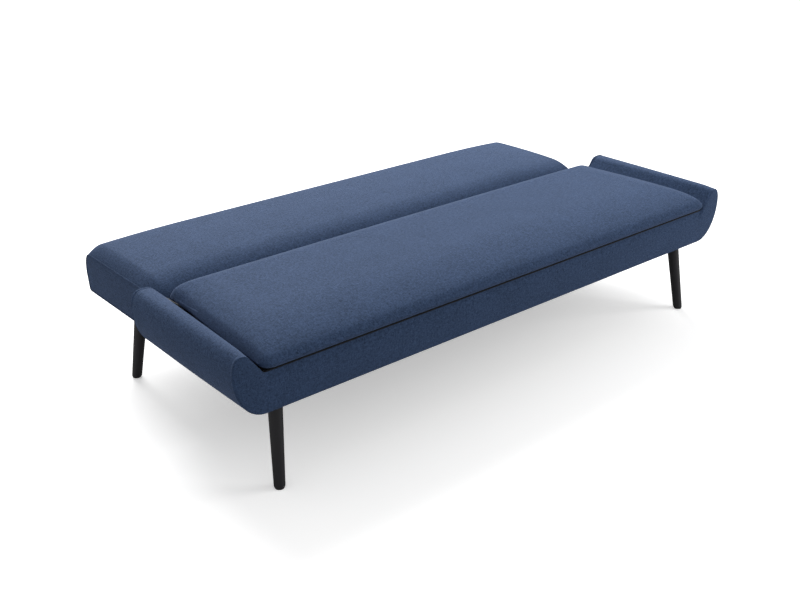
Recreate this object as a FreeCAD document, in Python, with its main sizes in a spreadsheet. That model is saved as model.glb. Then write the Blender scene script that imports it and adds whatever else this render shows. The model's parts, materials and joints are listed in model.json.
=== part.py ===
import FreeCAD, Part
import math
import os
import re

import Sketcher
from FreeCAD import Vector

# Futon sofa bed, lying flat. Millimetres. +X runs along its length, the front faces -Y,
# +Z is up, and the origin is on the floor under the middle of the bed.
#
# A boat-shaped tub carries the seat cushion. The backrest hangs on two click-clack hinges
# behind it, and a steel underframe carries both on four splayed legs.

# Driving dimensions: alias, value, meaning.
DIMENSIONS = [
    # tub
    ("front_face", -520.8, "Y of the front panel's outer face"),
    ("rear_face", 9, "Y of the rear panel's outer face"),
    ("tub_bottom", 259.2, "Z of the tub's lowest upholstery"),
    ("padding", 8, "thickness of the padded covers on the tub"),
    ("fit_gap", 0.3, "assembly gap between upholstered pieces"),
    ("keel_half", 925, "half length of the tub's flat bottom"),
    ("bilge_reach", 95, "how far the arm swells past the flat bottom"),
    ("bilge_rise", 131, "height over which the arm swells"),
    ("tip_centre", 992, "X of the arm tip's round-over centre"),
    ("tip_rise", 53, "height of the arm tip above its widest line"),
    ("arm_foot_inner", 922, "X of the arm's inner wall below the seat"),
    ("slope_foot", 930, "X where the arm's inner slope starts"),
    ("slope_foot_height", 380, "Z where the arm's inner slope starts"),
    ("slope_head", 971, "X where the arm's inner slope ends"),
    ("slope_head_height", 436, "Z where the arm's inner slope ends"),
    ("front_panel_top", 374, "Z of the front panel between the arms"),
    ("rear_panel_top", 365, "Z of the rear panel between the arms"),
    ("ply", 18, "thickness of the plywood ribs and rails"),
    ("liner", 4, "thickness of the arm's bent liner"),
    ("board", 12, "thickness of the bottom board"),
    ("sheet", 1, "thickness of the dust covers"),
    ("side_board_outer", 900, "X of the side boards' outer faces"),
    ("side_board_thick", 20, "thickness of the side boards"),
    ("side_board_top", 360, "Z of the side boards' top edges"),
    ("rib_half", 11, "half thickness of a cross rib"),
    ("rib_spacing", 440, "distance between cross ribs"),
    ("rib_top", 352, "Z of the cross ribs' top edges"),
    # seat suspension and cushion
    ("spring_level", 368, "Z of the zigzag springs' wire"),
    ("spring_wire", 1.9, "radius of the spring wire"),
    ("spring_pitch", 22, "distance between the runs of a zigzag spring"),
    ("spring_half_width", 24, "half width of a run before its bend"),
    ("spring_spacing", 230, "distance between springs"),
    ("felt_bottom", 374.3, "Z of the felt over the springs"),
    ("felt_thick", 4, "thickness of the felt"),
    ("cushion_bottom", 379, "Z of the seat cushion's underside"),
    ("cushion_crown", 443, "Z of the seat cushion's highest line"),
    ("cushion_front", -519, "Y of the seat cushion's front edge"),
    ("cushion_rear", 12, "Y of the seat cushion's rear edge"),
    ("cushion_half", 916, "half length of the seat cushion"),
    ("cover_thick", 3, "thickness of the quilted cushion covers"),
    # backrest
    ("back_half", 921.6, "half length of the backrest over its end panels"),
    ("back_wrap_half", 903.8, "half length of the backrest's wrapped cover"),
    ("back_bottom", 250, "Z of the backrest's underside"),
    ("back_crown", 428, "Z of the backrest's highest line"),
    ("back_inner", 24, "Y of the backrest's inner end"),
    ("back_outer", 520.8, "Y of the backrest's outer end"),
    ("end_panel_thick", 8.6, "thickness of the padded end panels"),
    ("back_frame_top", 331, "Z of the backrest frame's top"),
    ("back_frame_bottom", 252, "Z of the backrest frame's underside"),
    ("back_frame_inner", 39, "Y of the backrest frame's inner rail"),
    ("back_frame_outer", 501, "Y of the backrest frame's outer rail"),
    ("back_rail", 24, "thickness of the backrest frame's rails"),
    ("strap_width", 70, "width of the elastic straps"),
    ("strap_thick", 2, "thickness of the elastic straps"),
    ("strap_spacing", 280, "distance between elastic straps"),
    # hinges
    ("pivot_y", -47, "Y of the hinge pivots"),
    ("pivot_z", 385, "Z of the hinge pivots"),
    ("plate", 4, "thickness of the hinge plates"),
    ("plate_gap", 0.3, "running gap beside a hinge plate"),
    ("eye", 11, "radius of the eyes round the hinge pins"),
    ("pin", 5, "radius of the hinge pins"),
    ("pin_clearance", 0.05, "radial clearance of the turning plates"),
    ("pin_head", 8, "radius of the pins' heads"),
    ("pin_head_thick", 2.5, "thickness of the pins' heads"),
    ("ratchet", 32, "radius of the toothed rim"),
    ("notch", 7, "radius of a notch in the toothed rim"),
    ("pawl_y", -81, "Y of the pawl's pivot"),
    ("pawl_z", 339, "Z of the pawl's pivot"),
    ("pawl_pin", 3, "radius of the pawl's pin"),
    ("pawl_pin_stub", 3, "how far a pawl's pin stands out past the pawl"),
    ("bolt", 3, "radius of the hinge bolts"),
    ("bolt_head", 6, "radius of the hinge bolts' heads"),
    ("bolt_head_thick", 3, "thickness of the hinge bolts' heads"),
    ("bolt_length", 18, "length of a hinge bolt in the timber"),
    # underframe and legs
    ("runner_middle", 860, "X of the runners' middle lines"),
    ("runner_half", 20, "half width of a runner"),
    ("runner_bottom", 222, "Z of the runners' undersides"),
    ("runner_top", 247, "Z of the runners' tops"),
    ("runner_front", -407, "Y of the runners' front ends"),
    ("runner_rear", 315, "Y of the runners' rear ends"),
    ("tube_wall", 2, "wall of the steel tubes"),
    ("cross_tube_front", 255, "Y of the cross tube's front side"),
    ("cross_tube_rear", 285, "Y of the cross tube's rear side"),
    ("buffer", 12, "radius of a rubber buffer"),
    ("buffer_top", 249.7, "Z of the buffers' tops"),
    ("frame_bolt", 4, "radius of the underframe's bolts"),
    ("leg_foot_x", 885, "X of a leg's foot"),
    ("leg_splay_x", 0.096, "outward lean of a leg along X, per unit of height"),
    ("leg_splay_y", 0.149, "outward lean of a leg along Y, per unit of height"),
    ("front_foot_y", -495, "Y of a front leg's foot"),
    ("rear_foot_y", 319, "Y of a rear leg's foot"),
    ("front_leg_top", 255.9, "Z of the front legs' tops, under the tub"),
    ("rear_leg_top", 219, "Z of the rear legs' tops, under the runners"),
    ("leg_foot_radius", 16, "radius of a leg at its foot"),
    ("leg_taper", 0.0195, "growth of a leg's radius per unit of height"),
    ("glide", 13, "radius of a glide under a leg"),
    ("glide_thick", 4, "thickness of a glide"),
    ("leg_plate_half", 19.5, "half width of a leg's mounting plate"),
    ("leg_plate_reach", 38, "half length of a leg's mounting plate"),
    ("leg_plate_thick", 3, "thickness of a leg's mounting plate"),
    ("screw", 2, "radius of a plate screw"),
    ("screw_head", 4, "radius of a plate screw's head"),
]
SIDES = (("left", -1), ("right", 1))
LEGS = (
    ("front_left", -1, "front_foot_y", 1, "front_leg_top"),
    ("front_right", 1, "front_foot_y", 1, "front_leg_top"),
    ("rear_left", -1, "rear_foot_y", -1, "rear_leg_top"),
    ("rear_right", 1, "rear_foot_y", -1, "rear_leg_top"),
)
# Angles of the rim's notches, seen from the right: upright, reclined and flat.
NOTCH_ANGLES = (188, 226, 262)
# The toothed rim covers only the side that comes past the pawl.
RIM_START = 172
RIM_END = 280
RIM_STEP = 12
SPRING_COLUMNS = (-3, -2, -1, 0, 1, 2, 3)
SPRING_RUNS = 21
STRAP_COLUMNS = (-2, -1, 0, 1, 2)

doc = FreeCAD.newDocument("futon_sofa_bed")
dims = doc.addObject("Spreadsheet::Sheet", "Dims")
for row, (alias, value, meaning) in enumerate(DIMENSIONS, start=1):
    dims.set(f"A{row}", str(value))
    dims.setAlias(f"A{row}", alias)
    dims.set(f"B{row}", meaning)
doc.recompute()
size = {alias: float(dims.get(alias)) for alias, value, meaning in DIMENSIONS}
nodes = []


def sheet_words(expression):
    """The expression with each alias pointing at its cell in the sheet."""
    return re.sub(r"[a-z][a-z_]+", lambda word: "Dims." + word.group(0), str(expression))


def worked_out(expression):
    """The number that an expression of aliases comes to."""
    return float(dims.evalExpression(str(expression)))


def bind(item, **expressions):
    """Bind properties to the sheet; a double underscore in a name stands for a dot."""
    for name, expression in expressions.items():
        item.setExpression(name.replace("__", "."), sheet_words(expression))


def node(item, label):
    """Name a finished sub-part."""
    item.Label = label
    nodes.append(item)
    return item


def box(x, y, z):
    """A box between pairs of expressions along each axis."""
    item = doc.addObject("Part::Box", "Block")
    for side, along, (low, high) in zip(("Length", "Width", "Height"), "xyz", (x, y, z)):
        bind(item, **{side: f"({high}) - ({low})", f"Placement__Base__{along}": low})
    return item


def mirrored(sign, low, high):
    """A pair of X expressions on the right side, or their mirror image on the left."""
    return (low, high) if sign > 0 else (f"-({high})", f"-({low})")


def rod(radius, start, length, along="z"):
    """A cylinder from a start point along an axis."""
    item = doc.addObject("Part::Cylinder", "Rod")
    if along == "x":
        item.Placement.Rotation = FreeCAD.Rotation(Vector(0, 1, 0), 90)
    x, y, z = start
    bind(item, Radius=radius, Height=length,
         Placement__Base__x=x, Placement__Base__y=y, Placement__Base__z=z)
    return item


def cut(base, tool):
    item = doc.addObject("Part::Cut", "Cut")
    item.Base = base
    item.Tool = tool
    return item


def fused(items):
    item = doc.addObject("Part::MultiFuse", "Fusion")
    item.Shapes = items
    return item


def group(items):
    """Separate identical pieces kept in one sub-part."""
    item = doc.addObject("Part::Compound", "Group")
    item.Links = items
    return item


def feature(shape):
    item = doc.addObject("Part::Feature", "Shape")
    item.Shape = shape
    return item


def origin_plane(body, role):
    return [plane for plane in body.Origin.OriginFeatures if plane.Role == role][0]


def outline_sketch(body, role, offset, points):
    """A closed polygon whose corners are bound to the sheet."""
    sketch = body.newObject("Sketcher::SketchObject", "Outline")
    sketch.AttachmentSupport = [(origin_plane(body, role), "")]
    sketch.MapMode = "FlatFace"
    bind(sketch, AttachmentOffset__Base__z=offset)
    corners = [Vector(worked_out(across), worked_out(up), 0) for across, up in points]
    for index, corner in enumerate(corners):
        sketch.addGeometry(Part.LineSegment(corner, corners[(index + 1) % len(corners)]))
    for index in range(len(corners)):
        sketch.addConstraint(Sketcher.Constraint("Coincident", index, 2, (index + 1) % len(corners), 1))
    for index, ((across, up), corner) in enumerate(zip(points, corners)):
        for kind, expression, value in (("DistanceX", across, corner.x), ("DistanceY", up, corner.y)):
            number = sketch.addConstraint(Sketcher.Constraint(kind, -1, 1, index, 1, value))
            sketch.setExpression(f"Constraints[{number}]", sheet_words(expression))
    return sketch


def circle_sketch(body, role, offset, centre, radius):
    """A circle whose centre and radius are bound to the sheet."""
    sketch = body.newObject("Sketcher::SketchObject", "Round")
    sketch.AttachmentSupport = [(origin_plane(body, role), "")]
    sketch.MapMode = "FlatFace"
    bind(sketch, AttachmentOffset__Base__z=offset)
    across, up = (worked_out(expression) for expression in centre)
    sketch.addGeometry(Part.Circle(Vector(across, up, 0), Vector(0, 0, 1), worked_out(radius)))
    for kind, expression, value in (("DistanceX", centre[0], across), ("DistanceY", centre[1], up)):
        number = sketch.addConstraint(Sketcher.Constraint(kind, -1, 1, 0, 3, value))
        sketch.setExpression(f"Constraints[{number}]", sheet_words(expression))
    number = sketch.addConstraint(Sketcher.Constraint("Radius", 0, worked_out(radius)))
    sketch.setExpression(f"Constraints[{number}]", sheet_words(radius))
    return sketch


def padded(body, sketch, thickness):
    pad = body.newObject("PartDesign::Pad", "Pad")
    pad.Profile = sketch
    bind(pad, Length=thickness)
    return pad


def drilled(body, sketch):
    """Cut a sketch right through a body, and make sure that it took something away."""
    doc.recompute()
    volume = body.Shape.Volume
    pocket = body.newObject("PartDesign::Pocket", "Pocket")
    pocket.Profile = sketch
    pocket.Type = "ThroughAll"
    pocket.Midplane = True
    doc.recompute()
    if body.Shape.Volume >= volume:
        raise ValueError(f"{body.Name}: a hole cuts nothing")
    return pocket


# ---------------------------------------------------------------- the tub

def arm_outline(inset):
    """The right arm's section in X and Z, moved in by an inset: bilge, tip, slope, foot."""
    widest = size["slope_foot_height"] + 10
    bilge_centre = Vector(size["keel_half"], 0, widest)
    bottom = Vector(size["keel_half"], 0, size["tub_bottom"] + inset)
    side = Vector(size["keel_half"] + size["bilge_reach"] - inset, 0, widest)
    tip_centre = Vector(size["tip_centre"], 0, widest)
    tip = Vector(size["tip_centre"], 0, widest + size["tip_rise"] - inset)
    head = Vector(size["slope_head"] + inset * 0.6, 0, size["slope_head_height"] - inset * 0.8)
    slope_foot = Vector(size["slope_foot"] + inset, 0, size["slope_foot_height"])
    inner_foot = Vector(size["arm_foot_inner"] + inset, 0, size["slope_foot_height"] - 12)
    inner_bottom = Vector(size["arm_foot_inner"] + inset, 0, size["tub_bottom"] + inset)
    keel = Vector(max(bottom.x, inner_bottom.x + 1), 0, bottom.z)
    bilge = bow(bilge_centre, side, Vector(bilge_centre.x, 0, bottom.z), keel)
    tip_bow = bow(tip_centre, side, tip, tip)
    corners = [tip, head, slope_foot, inner_foot, inner_bottom, keel]
    straight = [Part.makeLine(a, b) for a, b in zip(corners, corners[1:])]
    return Part.Wire(Part.__sortEdges__([tip_bow] + straight + [bilge]))


def bow(centre, side, apex, end):
    """A quarter ellipse about a centre, from the side towards the apex, stopping at the end."""
    across = side.x - centre.x
    rise = apex.z - centre.z
    angle = math.acos(min(1, max(0, (end.x - centre.x) / across)))
    middle_angle = angle / 2
    points = []
    for turn in (0, middle_angle / 2, middle_angle, middle_angle * 1.5):
        points.append(Vector(centre.x + across * math.cos(turn), 0, centre.z + rise * math.sin(turn)))
    points.append(end)
    curve = Part.BSplineCurve()
    curve.interpolate(points)
    return curve.toShape()


def along_y(wire, start, end):
    """A solid with the given section in X and Z between two Y values."""
    face = Part.Face(wire)
    face.translate(Vector(0, start, 0))
    return face.extrude(Vector(0, end - start, 0))


def on_side(shape, sign):
    """A right-hand shape, or its mirror image."""
    return shape if sign > 0 else shape.mirror(Vector(0, 0, 0), Vector(1, 0, 0))


gap = size["fit_gap"]
pad_thick = size["padding"]
ply = size["ply"]
front_skin = size["front_face"] + pad_thick
rear_skin = size["rear_face"] - pad_thick

for side, sign in SIDES:
    outer = arm_outline(0)
    lining = arm_outline(pad_thick)
    cover_span = (front_skin + gap, rear_skin - gap)
    wrap = along_y(outer, *cover_span).cut(along_y(lining, *cover_span))
    node(feature(on_side(wrap, sign)), f"arm_cover_{side}")
    rib = arm_outline(pad_thick + gap)
    ribs = (("front", front_skin + gap), ("rear", rear_skin - gap - ply))
    for end, start in ribs:
        node(feature(on_side(along_y(rib, start, start + ply), sign)), f"arm_rib_{end}_{side}")
    liner_span = (front_skin + 2 * gap + ply, rear_skin - 2 * gap - ply)
    hollow = along_y(arm_outline(pad_thick + gap + size["liner"]), *liner_span)
    node(feature(on_side(along_y(rib, *liner_span).cut(hollow), sign)), f"arm_liner_{side}")


def boat_panel(start, end, top):
    """A padded end panel: both arm sections joined by a straight panel between them."""
    middle = Part.makeBox(2 * (size["keel_half"] + 4), end - start, top - size["tub_bottom"],
                          Vector(-size["keel_half"] - 4, start, size["tub_bottom"]))
    arms = [on_side(along_y(arm_outline(0), start, end), sign) for name, sign in SIDES]
    return middle.fuse(arms).removeSplitter()


node(feature(boat_panel(size["front_face"], front_skin, size["front_panel_top"])), "front_cover_panel")
node(feature(boat_panel(rear_skin, size["rear_face"], size["rear_panel_top"])), "rear_cover_panel")

inside_x = ("-arm_foot_inner + fit_gap", "arm_foot_inner - fit_gap")
frame_bottom = "tub_bottom + sheet + fit_gap"
front_ply = ("front_face + padding + fit_gap", "front_face + padding + fit_gap + ply")
rear_ply = ("rear_face - padding - fit_gap - ply", "rear_face - padding - fit_gap")
inside_y = (f"{front_ply[1]} + fit_gap", f"{rear_ply[0]} - fit_gap")
board_top = f"{frame_bottom} + board"

node(box(inside_x, front_ply, (frame_bottom, "front_panel_top - 1")), "front_rail")
node(box(inside_x, rear_ply, (frame_bottom, "rear_panel_top - 3")), "rear_rail")
node(box(inside_x, inside_y, (frame_bottom, board_top)), "bottom_board")
node(box(inside_x, (front_ply[0], rear_ply[1]), ("tub_bottom", "tub_bottom + sheet")), "tub_dust_cover")
node(group([
    box((f"rib_spacing * ({count}) - rib_half", f"rib_spacing * ({count}) + rib_half"),
        inside_y, (f"{board_top} + fit_gap", "rib_top"))
    for count in (-1, 0, 1)
]), "cross_ribs")
for side, sign in SIDES:
    across = mirrored(sign, "side_board_outer - side_board_thick", "side_board_outer")
    node(box(across, inside_y, (f"{board_top} + fit_gap", "side_board_top")), f"side_board_{side}")


# ---------------------------------------------------------------- seat suspension and cushion

def zigzag_spring(column):
    """Straight runs along X joined by half-round bends, from the front rail to the rear rail."""
    level = size["spring_level"]
    pitch = size["spring_pitch"]
    half = size["spring_half_width"]
    middle_x = column * size["spring_spacing"]
    first_y = (worked_out(inside_y[0]) + worked_out(inside_y[1]) - pitch * (SPRING_RUNS - 1)) / 2
    edges = []
    for run in range(SPRING_RUNS):
        reach = half if run % 2 == 0 else -half
        start = Vector(middle_x - reach, first_y + run * pitch, level)
        end = Vector(middle_x + reach, first_y + run * pitch, level)
        edges.append(Part.makeLine(start, end))
        if run < SPRING_RUNS - 1:
            bulge = end + Vector(math.copysign(pitch / 2, reach), pitch / 2, 0)
            edges.append(Part.Arc(end, bulge, end + Vector(0, pitch, 0)).toShape())
    path = Part.Wire(edges)
    start = path.OrderedVertexes[0].Point
    section = Part.Wire(Part.makeCircle(size["spring_wire"], start, Vector(1, 0, 0)))
    return path.makePipeShell([section], True, False)


node(feature(Part.makeCompound([zigzag_spring(column) for column in SPRING_COLUMNS])), "seat_springs")

run_span = f"spring_pitch * {SPRING_RUNS - 1}"
middle_y = f"(({inside_y[0]}) + ({inside_y[1]})) / 2"
clip_half = "spring_half_width - 10"
clips = []
for column in SPRING_COLUMNS:
    across = (f"spring_spacing * ({column}) - ({clip_half})", f"spring_spacing * ({column}) + ({clip_half})")
    first_run = f"{middle_y} - ({run_span}) / 2"
    last_run = f"{middle_y} + ({run_span}) / 2"
    level = ("spring_level - 4", "spring_level + 4")
    clips.append(box(across, (inside_y[0], f"{first_run} + 5"), level))
    clips.append(box(across, (f"{last_run} - 5", inside_y[1]), level))
node(group(clips), "spring_clips")
node(box(("-side_board_outer", "side_board_outer"), inside_y, ("felt_bottom", "felt_bottom + felt_thick")),
     "seat_felt")


def polygon_face(points, plane):
    """A flat face with the given corners in the YZ, XY or XZ plane."""
    spots = {
        "yz": [Vector(0, a, b) for a, b in points],
        "xy": [Vector(a, b, 0) for a, b in points],
        "xz": [Vector(a, 0, b) for a, b in points],
    }[plane]
    edges = []
    for index, spot in enumerate(spots):
        edges.append(Part.makeLine(spot, spots[(index + 1) % len(spots)]))
    return Part.Face(Part.Wire(edges))


def seat_pad(inset, bottom):
    """The seat cushion's crowned form: its side section, its plan and its long section in common."""
    front = size["cushion_front"] + inset
    rear = size["cushion_rear"] - inset
    crown = size["cushion_crown"] - inset
    half = size["cushion_half"] - inset
    base = size["cushion_bottom"]
    side_view = [
        (front, bottom), (front, base + 4), (front + 6, base + 22), (front + 26, base + 42),
        (front + 70, crown - 6), (front + 150, crown - 1), (front + 260, crown), (front + 370, crown - 2),
        (rear - 78, crown - 7), (rear - 40, crown - 14), (rear - 14, crown - 28), (rear, base + 16),
        (rear, bottom),
    ]
    plan = [
        (half - 26, front), (half - 8, front + 10), (half, front + 32), (half - 14, rear - 104),
        (half - 30, rear - 74), (half - 36, rear - 16), (half - 54, rear),
    ]
    plan = plan + [(-x, y) for x, y in reversed(plan)]
    long_view = [(half, bottom), (half, base + 20), (half - 12, crown - 18), (half - 60, crown - 6),
                 (half - 160, crown)]
    long_view = long_view + [(-x, z) for x, z in reversed(long_view)]
    lengthwise = polygon_face(side_view, "yz")
    lengthwise.translate(Vector(-half - 10, 0, 0))
    upright = polygon_face(plan, "xy")
    upright.translate(Vector(0, 0, bottom - 10))
    backward = polygon_face(long_view, "xz")
    backward.translate(Vector(0, front - 10, 0))
    form = lengthwise.extrude(Vector(2 * half + 20, 0, 0))
    form = form.common(upright.extrude(Vector(0, 0, crown - bottom + 20)))
    return form.common(backward.extrude(Vector(0, rear - front + 20, 0)))


cover = size["cover_thick"]
seat_base = size["cushion_bottom"]
node(feature(seat_pad(0, seat_base).cut(seat_pad(cover, seat_base - 5))), "seat_cover")
node(feature(seat_pad(cover + gap, seat_base)), "seat_foam")


# ---------------------------------------------------------------- backrest

def back_pad(inset, bottom, half):
    """The backrest's section in Y and Z, from its inner end over the crown to its outer end."""
    inner = size["back_inner"] + inset
    outer = size["back_outer"] - inset
    crown = size["back_crown"] - inset
    section = [
        (inner + 10, bottom), (inner, bottom + 10), (inner, crown - 90), (inner + 8, crown - 60),
        (inner + 30, crown - 34), (inner + 66, crown - 14), (inner + 130, crown - 3), (inner + 230, crown),
        (outer - 140, crown - 2), (outer - 70, crown - 10), (outer - 32, crown - 26), (outer - 10, crown - 48),
        (outer, crown - 78), (outer, bottom + 14), (outer - 14, bottom),
    ]
    face = polygon_face(section, "yz")
    face.translate(Vector(-half, 0, 0))
    return face.extrude(Vector(2 * half, 0, 0))


wrap_half = size["back_wrap_half"]
wrap_bottom = size["back_bottom"]
back_shell = back_pad(0, wrap_bottom, wrap_half).cut(back_pad(cover, wrap_bottom - 12, wrap_half + 5))
node(feature(back_shell), "back_cover")
foam_bottom = size["back_frame_top"] + size["strap_thick"] + 2 * gap
foam = back_pad(cover + gap, wrap_bottom, wrap_half - gap)
foam_room = Part.makeBox(3000, 2000, 500, Vector(-1500, -1000, foam_bottom))
node(feature(foam.common(foam_room)), "back_foam")
for side, sign in SIDES:
    panel = back_pad(0, wrap_bottom, size["end_panel_thick"] / 2)
    panel = panel.common(Part.makeBox(3000, 2000, 500, Vector(-1500, -1000, 0)))
    panel.translate(Vector(sign * (size["back_half"] - size["end_panel_thick"] / 2), 0, 0))
    node(feature(panel), f"back_end_panel_{side}")

frame_height = ("back_frame_bottom", "back_frame_top")
rail_ends = ("-back_wrap_half + back_rail + fit_gap", "back_wrap_half - back_rail - fit_gap")
node(box(rail_ends, ("back_frame_inner", "back_frame_inner + back_rail"), frame_height), "back_rail_inner")
node(box(rail_ends, ("back_frame_outer - back_rail", "back_frame_outer"), frame_height), "back_rail_outer")
between_rails = ("back_frame_inner + back_rail + fit_gap", "back_frame_outer - back_rail - fit_gap")
node(box(("-back_rail / 2", "back_rail / 2"), between_rails, ("back_frame_bottom", "back_frame_top - 12")),
     "back_rail_middle")
for side, sign in SIDES:
    across = mirrored(sign, "back_wrap_half - back_rail", "back_wrap_half")
    node(box(across, ("back_frame_inner", "back_frame_outer"), frame_height), f"back_side_rail_{side}")
node(group([
    box((f"strap_spacing * ({column}) - strap_width / 2", f"strap_spacing * ({column}) + strap_width / 2"),
        ("back_frame_inner + 2", "back_frame_outer - 2"),
        ("back_frame_top + fit_gap", "back_frame_top + fit_gap + strap_thick"))
    for column in STRAP_COLUMNS
]), "back_straps")
node(box(("-back_wrap_half", "back_wrap_half"), ("back_inner + 13.5", "back_outer - 17.5"),
         ("back_bottom", "back_bottom + sheet")), "back_dust_cover")


# ---------------------------------------------------------------- hinges

seat_plate_inner = "side_board_outer + fit_gap"
back_arm_inner = f"{seat_plate_inner} + plate + plate_gap"
pivot = ("pivot_y", "pivot_z")
pawl_pivot = ("pawl_y", "pawl_z")


def plate_body(name, sign, inner, outlines, rounds, holes):
    """A flat steel plate across X: outlines, round eyes added to them and holes cut through."""
    body = doc.addObject("PartDesign::Body", name)
    offset = mirrored(sign, inner, f"{inner} + plate")[0]
    for outline in outlines:
        padded(body, outline_sketch(body, "YZ_Plane", offset, outline), "plate")
    for centre, radius in rounds:
        padded(body, circle_sketch(body, "YZ_Plane", offset, centre, radius), "plate")
    for centre, radius in holes:
        drilled(body, circle_sketch(body, "YZ_Plane", offset, centre, radius))
    return body


seat_bolt_spots = (("pivot_y - 100", "pivot_z - 60"), ("pivot_y - 130", "pivot_z - 60"),
                   ("pivot_y - 115", "pivot_z - 95"))
back_bolt_spots = (("pivot_y + 125", "pivot_z - 74"), ("pivot_y + 185", "pivot_z - 74"),
                   ("pivot_y + 245", "pivot_z - 74"))
seat_plate_outline = (
    ("pivot_y + 11", "pivot_z + 8"), ("pivot_y - 11", "pivot_z + 8"), ("pivot_y - 42", "pivot_z - 26"),
    ("pivot_y - 90", "pivot_z - 44"), ("pivot_y - 145", "pivot_z - 44"), ("pivot_y - 145", "pivot_z - 108"),
    ("pivot_y - 60", "pivot_z - 108"), ("pivot_y + 11", "pivot_z - 40"),
)
back_arm_outline = (
    ("pivot_y", "pivot_z + eye"), ("pivot_y + 84", "pivot_z + eye - 4"), ("pivot_y + 270", "pivot_z - 56"),
    ("pivot_y + 270", "pivot_z - 94"), ("pivot_y + 108", "pivot_z - 94"), ("pivot_y + 80", "pivot_z - eye"),
    ("pivot_y", "pivot_z - eye"),
)
notch_spots = [
    (f"pivot_y + ratchet * ({math.cos(math.radians(angle)):.5f})",
     f"pivot_z + ratchet * ({math.sin(math.radians(angle)):.5f})")
    for angle in NOTCH_ANGLES
]
rim_outline = [pivot] + [
    (f"pivot_y + ratchet * ({math.cos(math.radians(angle)):.5f})",
     f"pivot_z + ratchet * ({math.sin(math.radians(angle)):.5f})")
    for angle in range(RIM_START, RIM_END + 1, RIM_STEP)
]
pawl_outline = (
    ("pawl_y - 4.5", "pawl_z + 4"), ("pawl_y + 2", "pawl_z - 6"), ("pawl_y + 31", "pawl_z + 5"),
    ("pawl_y + 32", "pawl_z + 12.6"), ("pawl_y + 28", "pawl_z + 12.6"), ("pawl_y + 20", "pawl_z + 6.5"),
)
# A leaf spring under each pawl: its foot is fixed to the seat plate, its tip bears on the pawl.
leaf_outline = (
    ("pawl_y - 14", "pawl_z - 26"), ("pawl_y", "pawl_z - 26"), ("pawl_y + 3.5", "pawl_z - 20.3"),
    ("pawl_y + 22", "pawl_z - 4.4"), ("pawl_y + 21", "pawl_z - 3.2"), ("pawl_y + 2", "pawl_z - 18.8"),
    ("pawl_y - 14", "pawl_z - 20"),
)

pins = []
pawl_pins = []
leaves = []
seat_bolts = []
back_bolts = []
for side, sign in SIDES:
    seat_plate = plate_body(f"SeatPlate{side}", sign, seat_plate_inner, [seat_plate_outline],
                            ((pivot, "eye"), (pawl_pivot, "pawl_pin * 2.4")),
                            ((pivot, "pin"), (pawl_pivot, "pawl_pin"),
                             *((spot, "bolt + 0.2") for spot in seat_bolt_spots)))
    node(seat_plate, f"hinge_seat_plate_{side}")
    back_arm = plate_body(f"BackArm{side}", sign, back_arm_inner, [back_arm_outline, rim_outline],
                          ((pivot, "eye"),),
                          ((pivot, "pin + pin_clearance"), *((spot, "notch") for spot in notch_spots),
                           *((spot, "bolt + 0.2") for spot in back_bolt_spots)))
    node(back_arm, f"hinge_back_arm_{side}")
    node(plate_body(f"Pawl{side}", sign, back_arm_inner, [pawl_outline], ((pawl_pivot, "pawl_pin + 3"),),
                    ((pawl_pivot, "pawl_pin + pin_clearance"),)), f"hinge_pawl_{side}")
    shank = mirrored(sign, seat_plate_inner, f"{back_arm_inner} + plate + plate_gap")
    head = mirrored(sign, f"{back_arm_inner} + plate + plate_gap",
                    f"{back_arm_inner} + plate + plate_gap + pin_head_thick")
    pins.append(fused([
        rod("pin", (shank[0], *pivot), f"({shank[1]}) - ({shank[0]})", "x"),
        rod("pin_head", (head[0], *pivot), "pin_head_thick", "x"),
    ]))
    stub = mirrored(sign, seat_plate_inner, f"{back_arm_inner} + plate + pawl_pin_stub")
    pawl_pins.append(rod("pawl_pin", (stub[0], *pawl_pivot), f"({stub[1]}) - ({stub[0]})", "x"))
    leaves.append(plate_body(f"Leaf{side}", sign, f"{seat_plate_inner} + plate", [leaf_outline], (), ()))
    for spots, inner, kept in ((seat_bolt_spots, seat_plate_inner, seat_bolts),
                               (back_bolt_spots, back_arm_inner, back_bolts)):
        face = f"{inner} + plate"
        shank = mirrored(sign, f"{inner} - bolt_length", face)
        head = mirrored(sign, face, f"{face} + bolt_head_thick")
        for spot in spots:
            kept.append(fused([
                rod("bolt", (shank[0], *spot), f"({shank[1]}) - ({shank[0]})", "x"),
                rod("bolt_head", (head[0], *spot), "bolt_head_thick", "x"),
            ]))
node(group(pins), "hinge_pins")
node(group(pawl_pins), "pawl_pins")
node(group(leaves), "pawl_springs")
node(group(seat_bolts), "hinge_seat_bolts")
node(group(back_bolts), "hinge_back_bolts")


# ---------------------------------------------------------------- underframe and legs

for side, sign in SIDES:
    across = mirrored(sign, "runner_middle - runner_half", "runner_middle + runner_half")
    bore = mirrored(sign, "runner_middle - runner_half + tube_wall", "runner_middle + runner_half - tube_wall")
    solid = box(across, ("runner_front", "runner_rear"), ("runner_bottom", "runner_top"))
    inside = box(bore, ("runner_front - 1", "runner_rear + 1"),
                 ("runner_bottom + tube_wall", "runner_top - tube_wall"))
    node(cut(solid, inside), f"runner_{side}")
    node(box(across, ("runner_front + 4", "rear_face - 16"), ("runner_top + fit_gap", "tub_bottom - fit_gap")),
         f"spacer_batten_{side}")
tube_ends = ("-runner_middle + runner_half + fit_gap", "runner_middle - runner_half - fit_gap")
node(cut(
    box(tube_ends, ("cross_tube_front", "cross_tube_rear"), ("runner_bottom", "runner_top")),
    box((f"{tube_ends[0]} - 1", f"{tube_ends[1]} + 1"),
        ("cross_tube_front + tube_wall", "cross_tube_rear - tube_wall"),
        ("runner_bottom + tube_wall", "runner_top - tube_wall")),
), "rear_cross_tube")
buffers = []
frame_bolts = []
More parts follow.
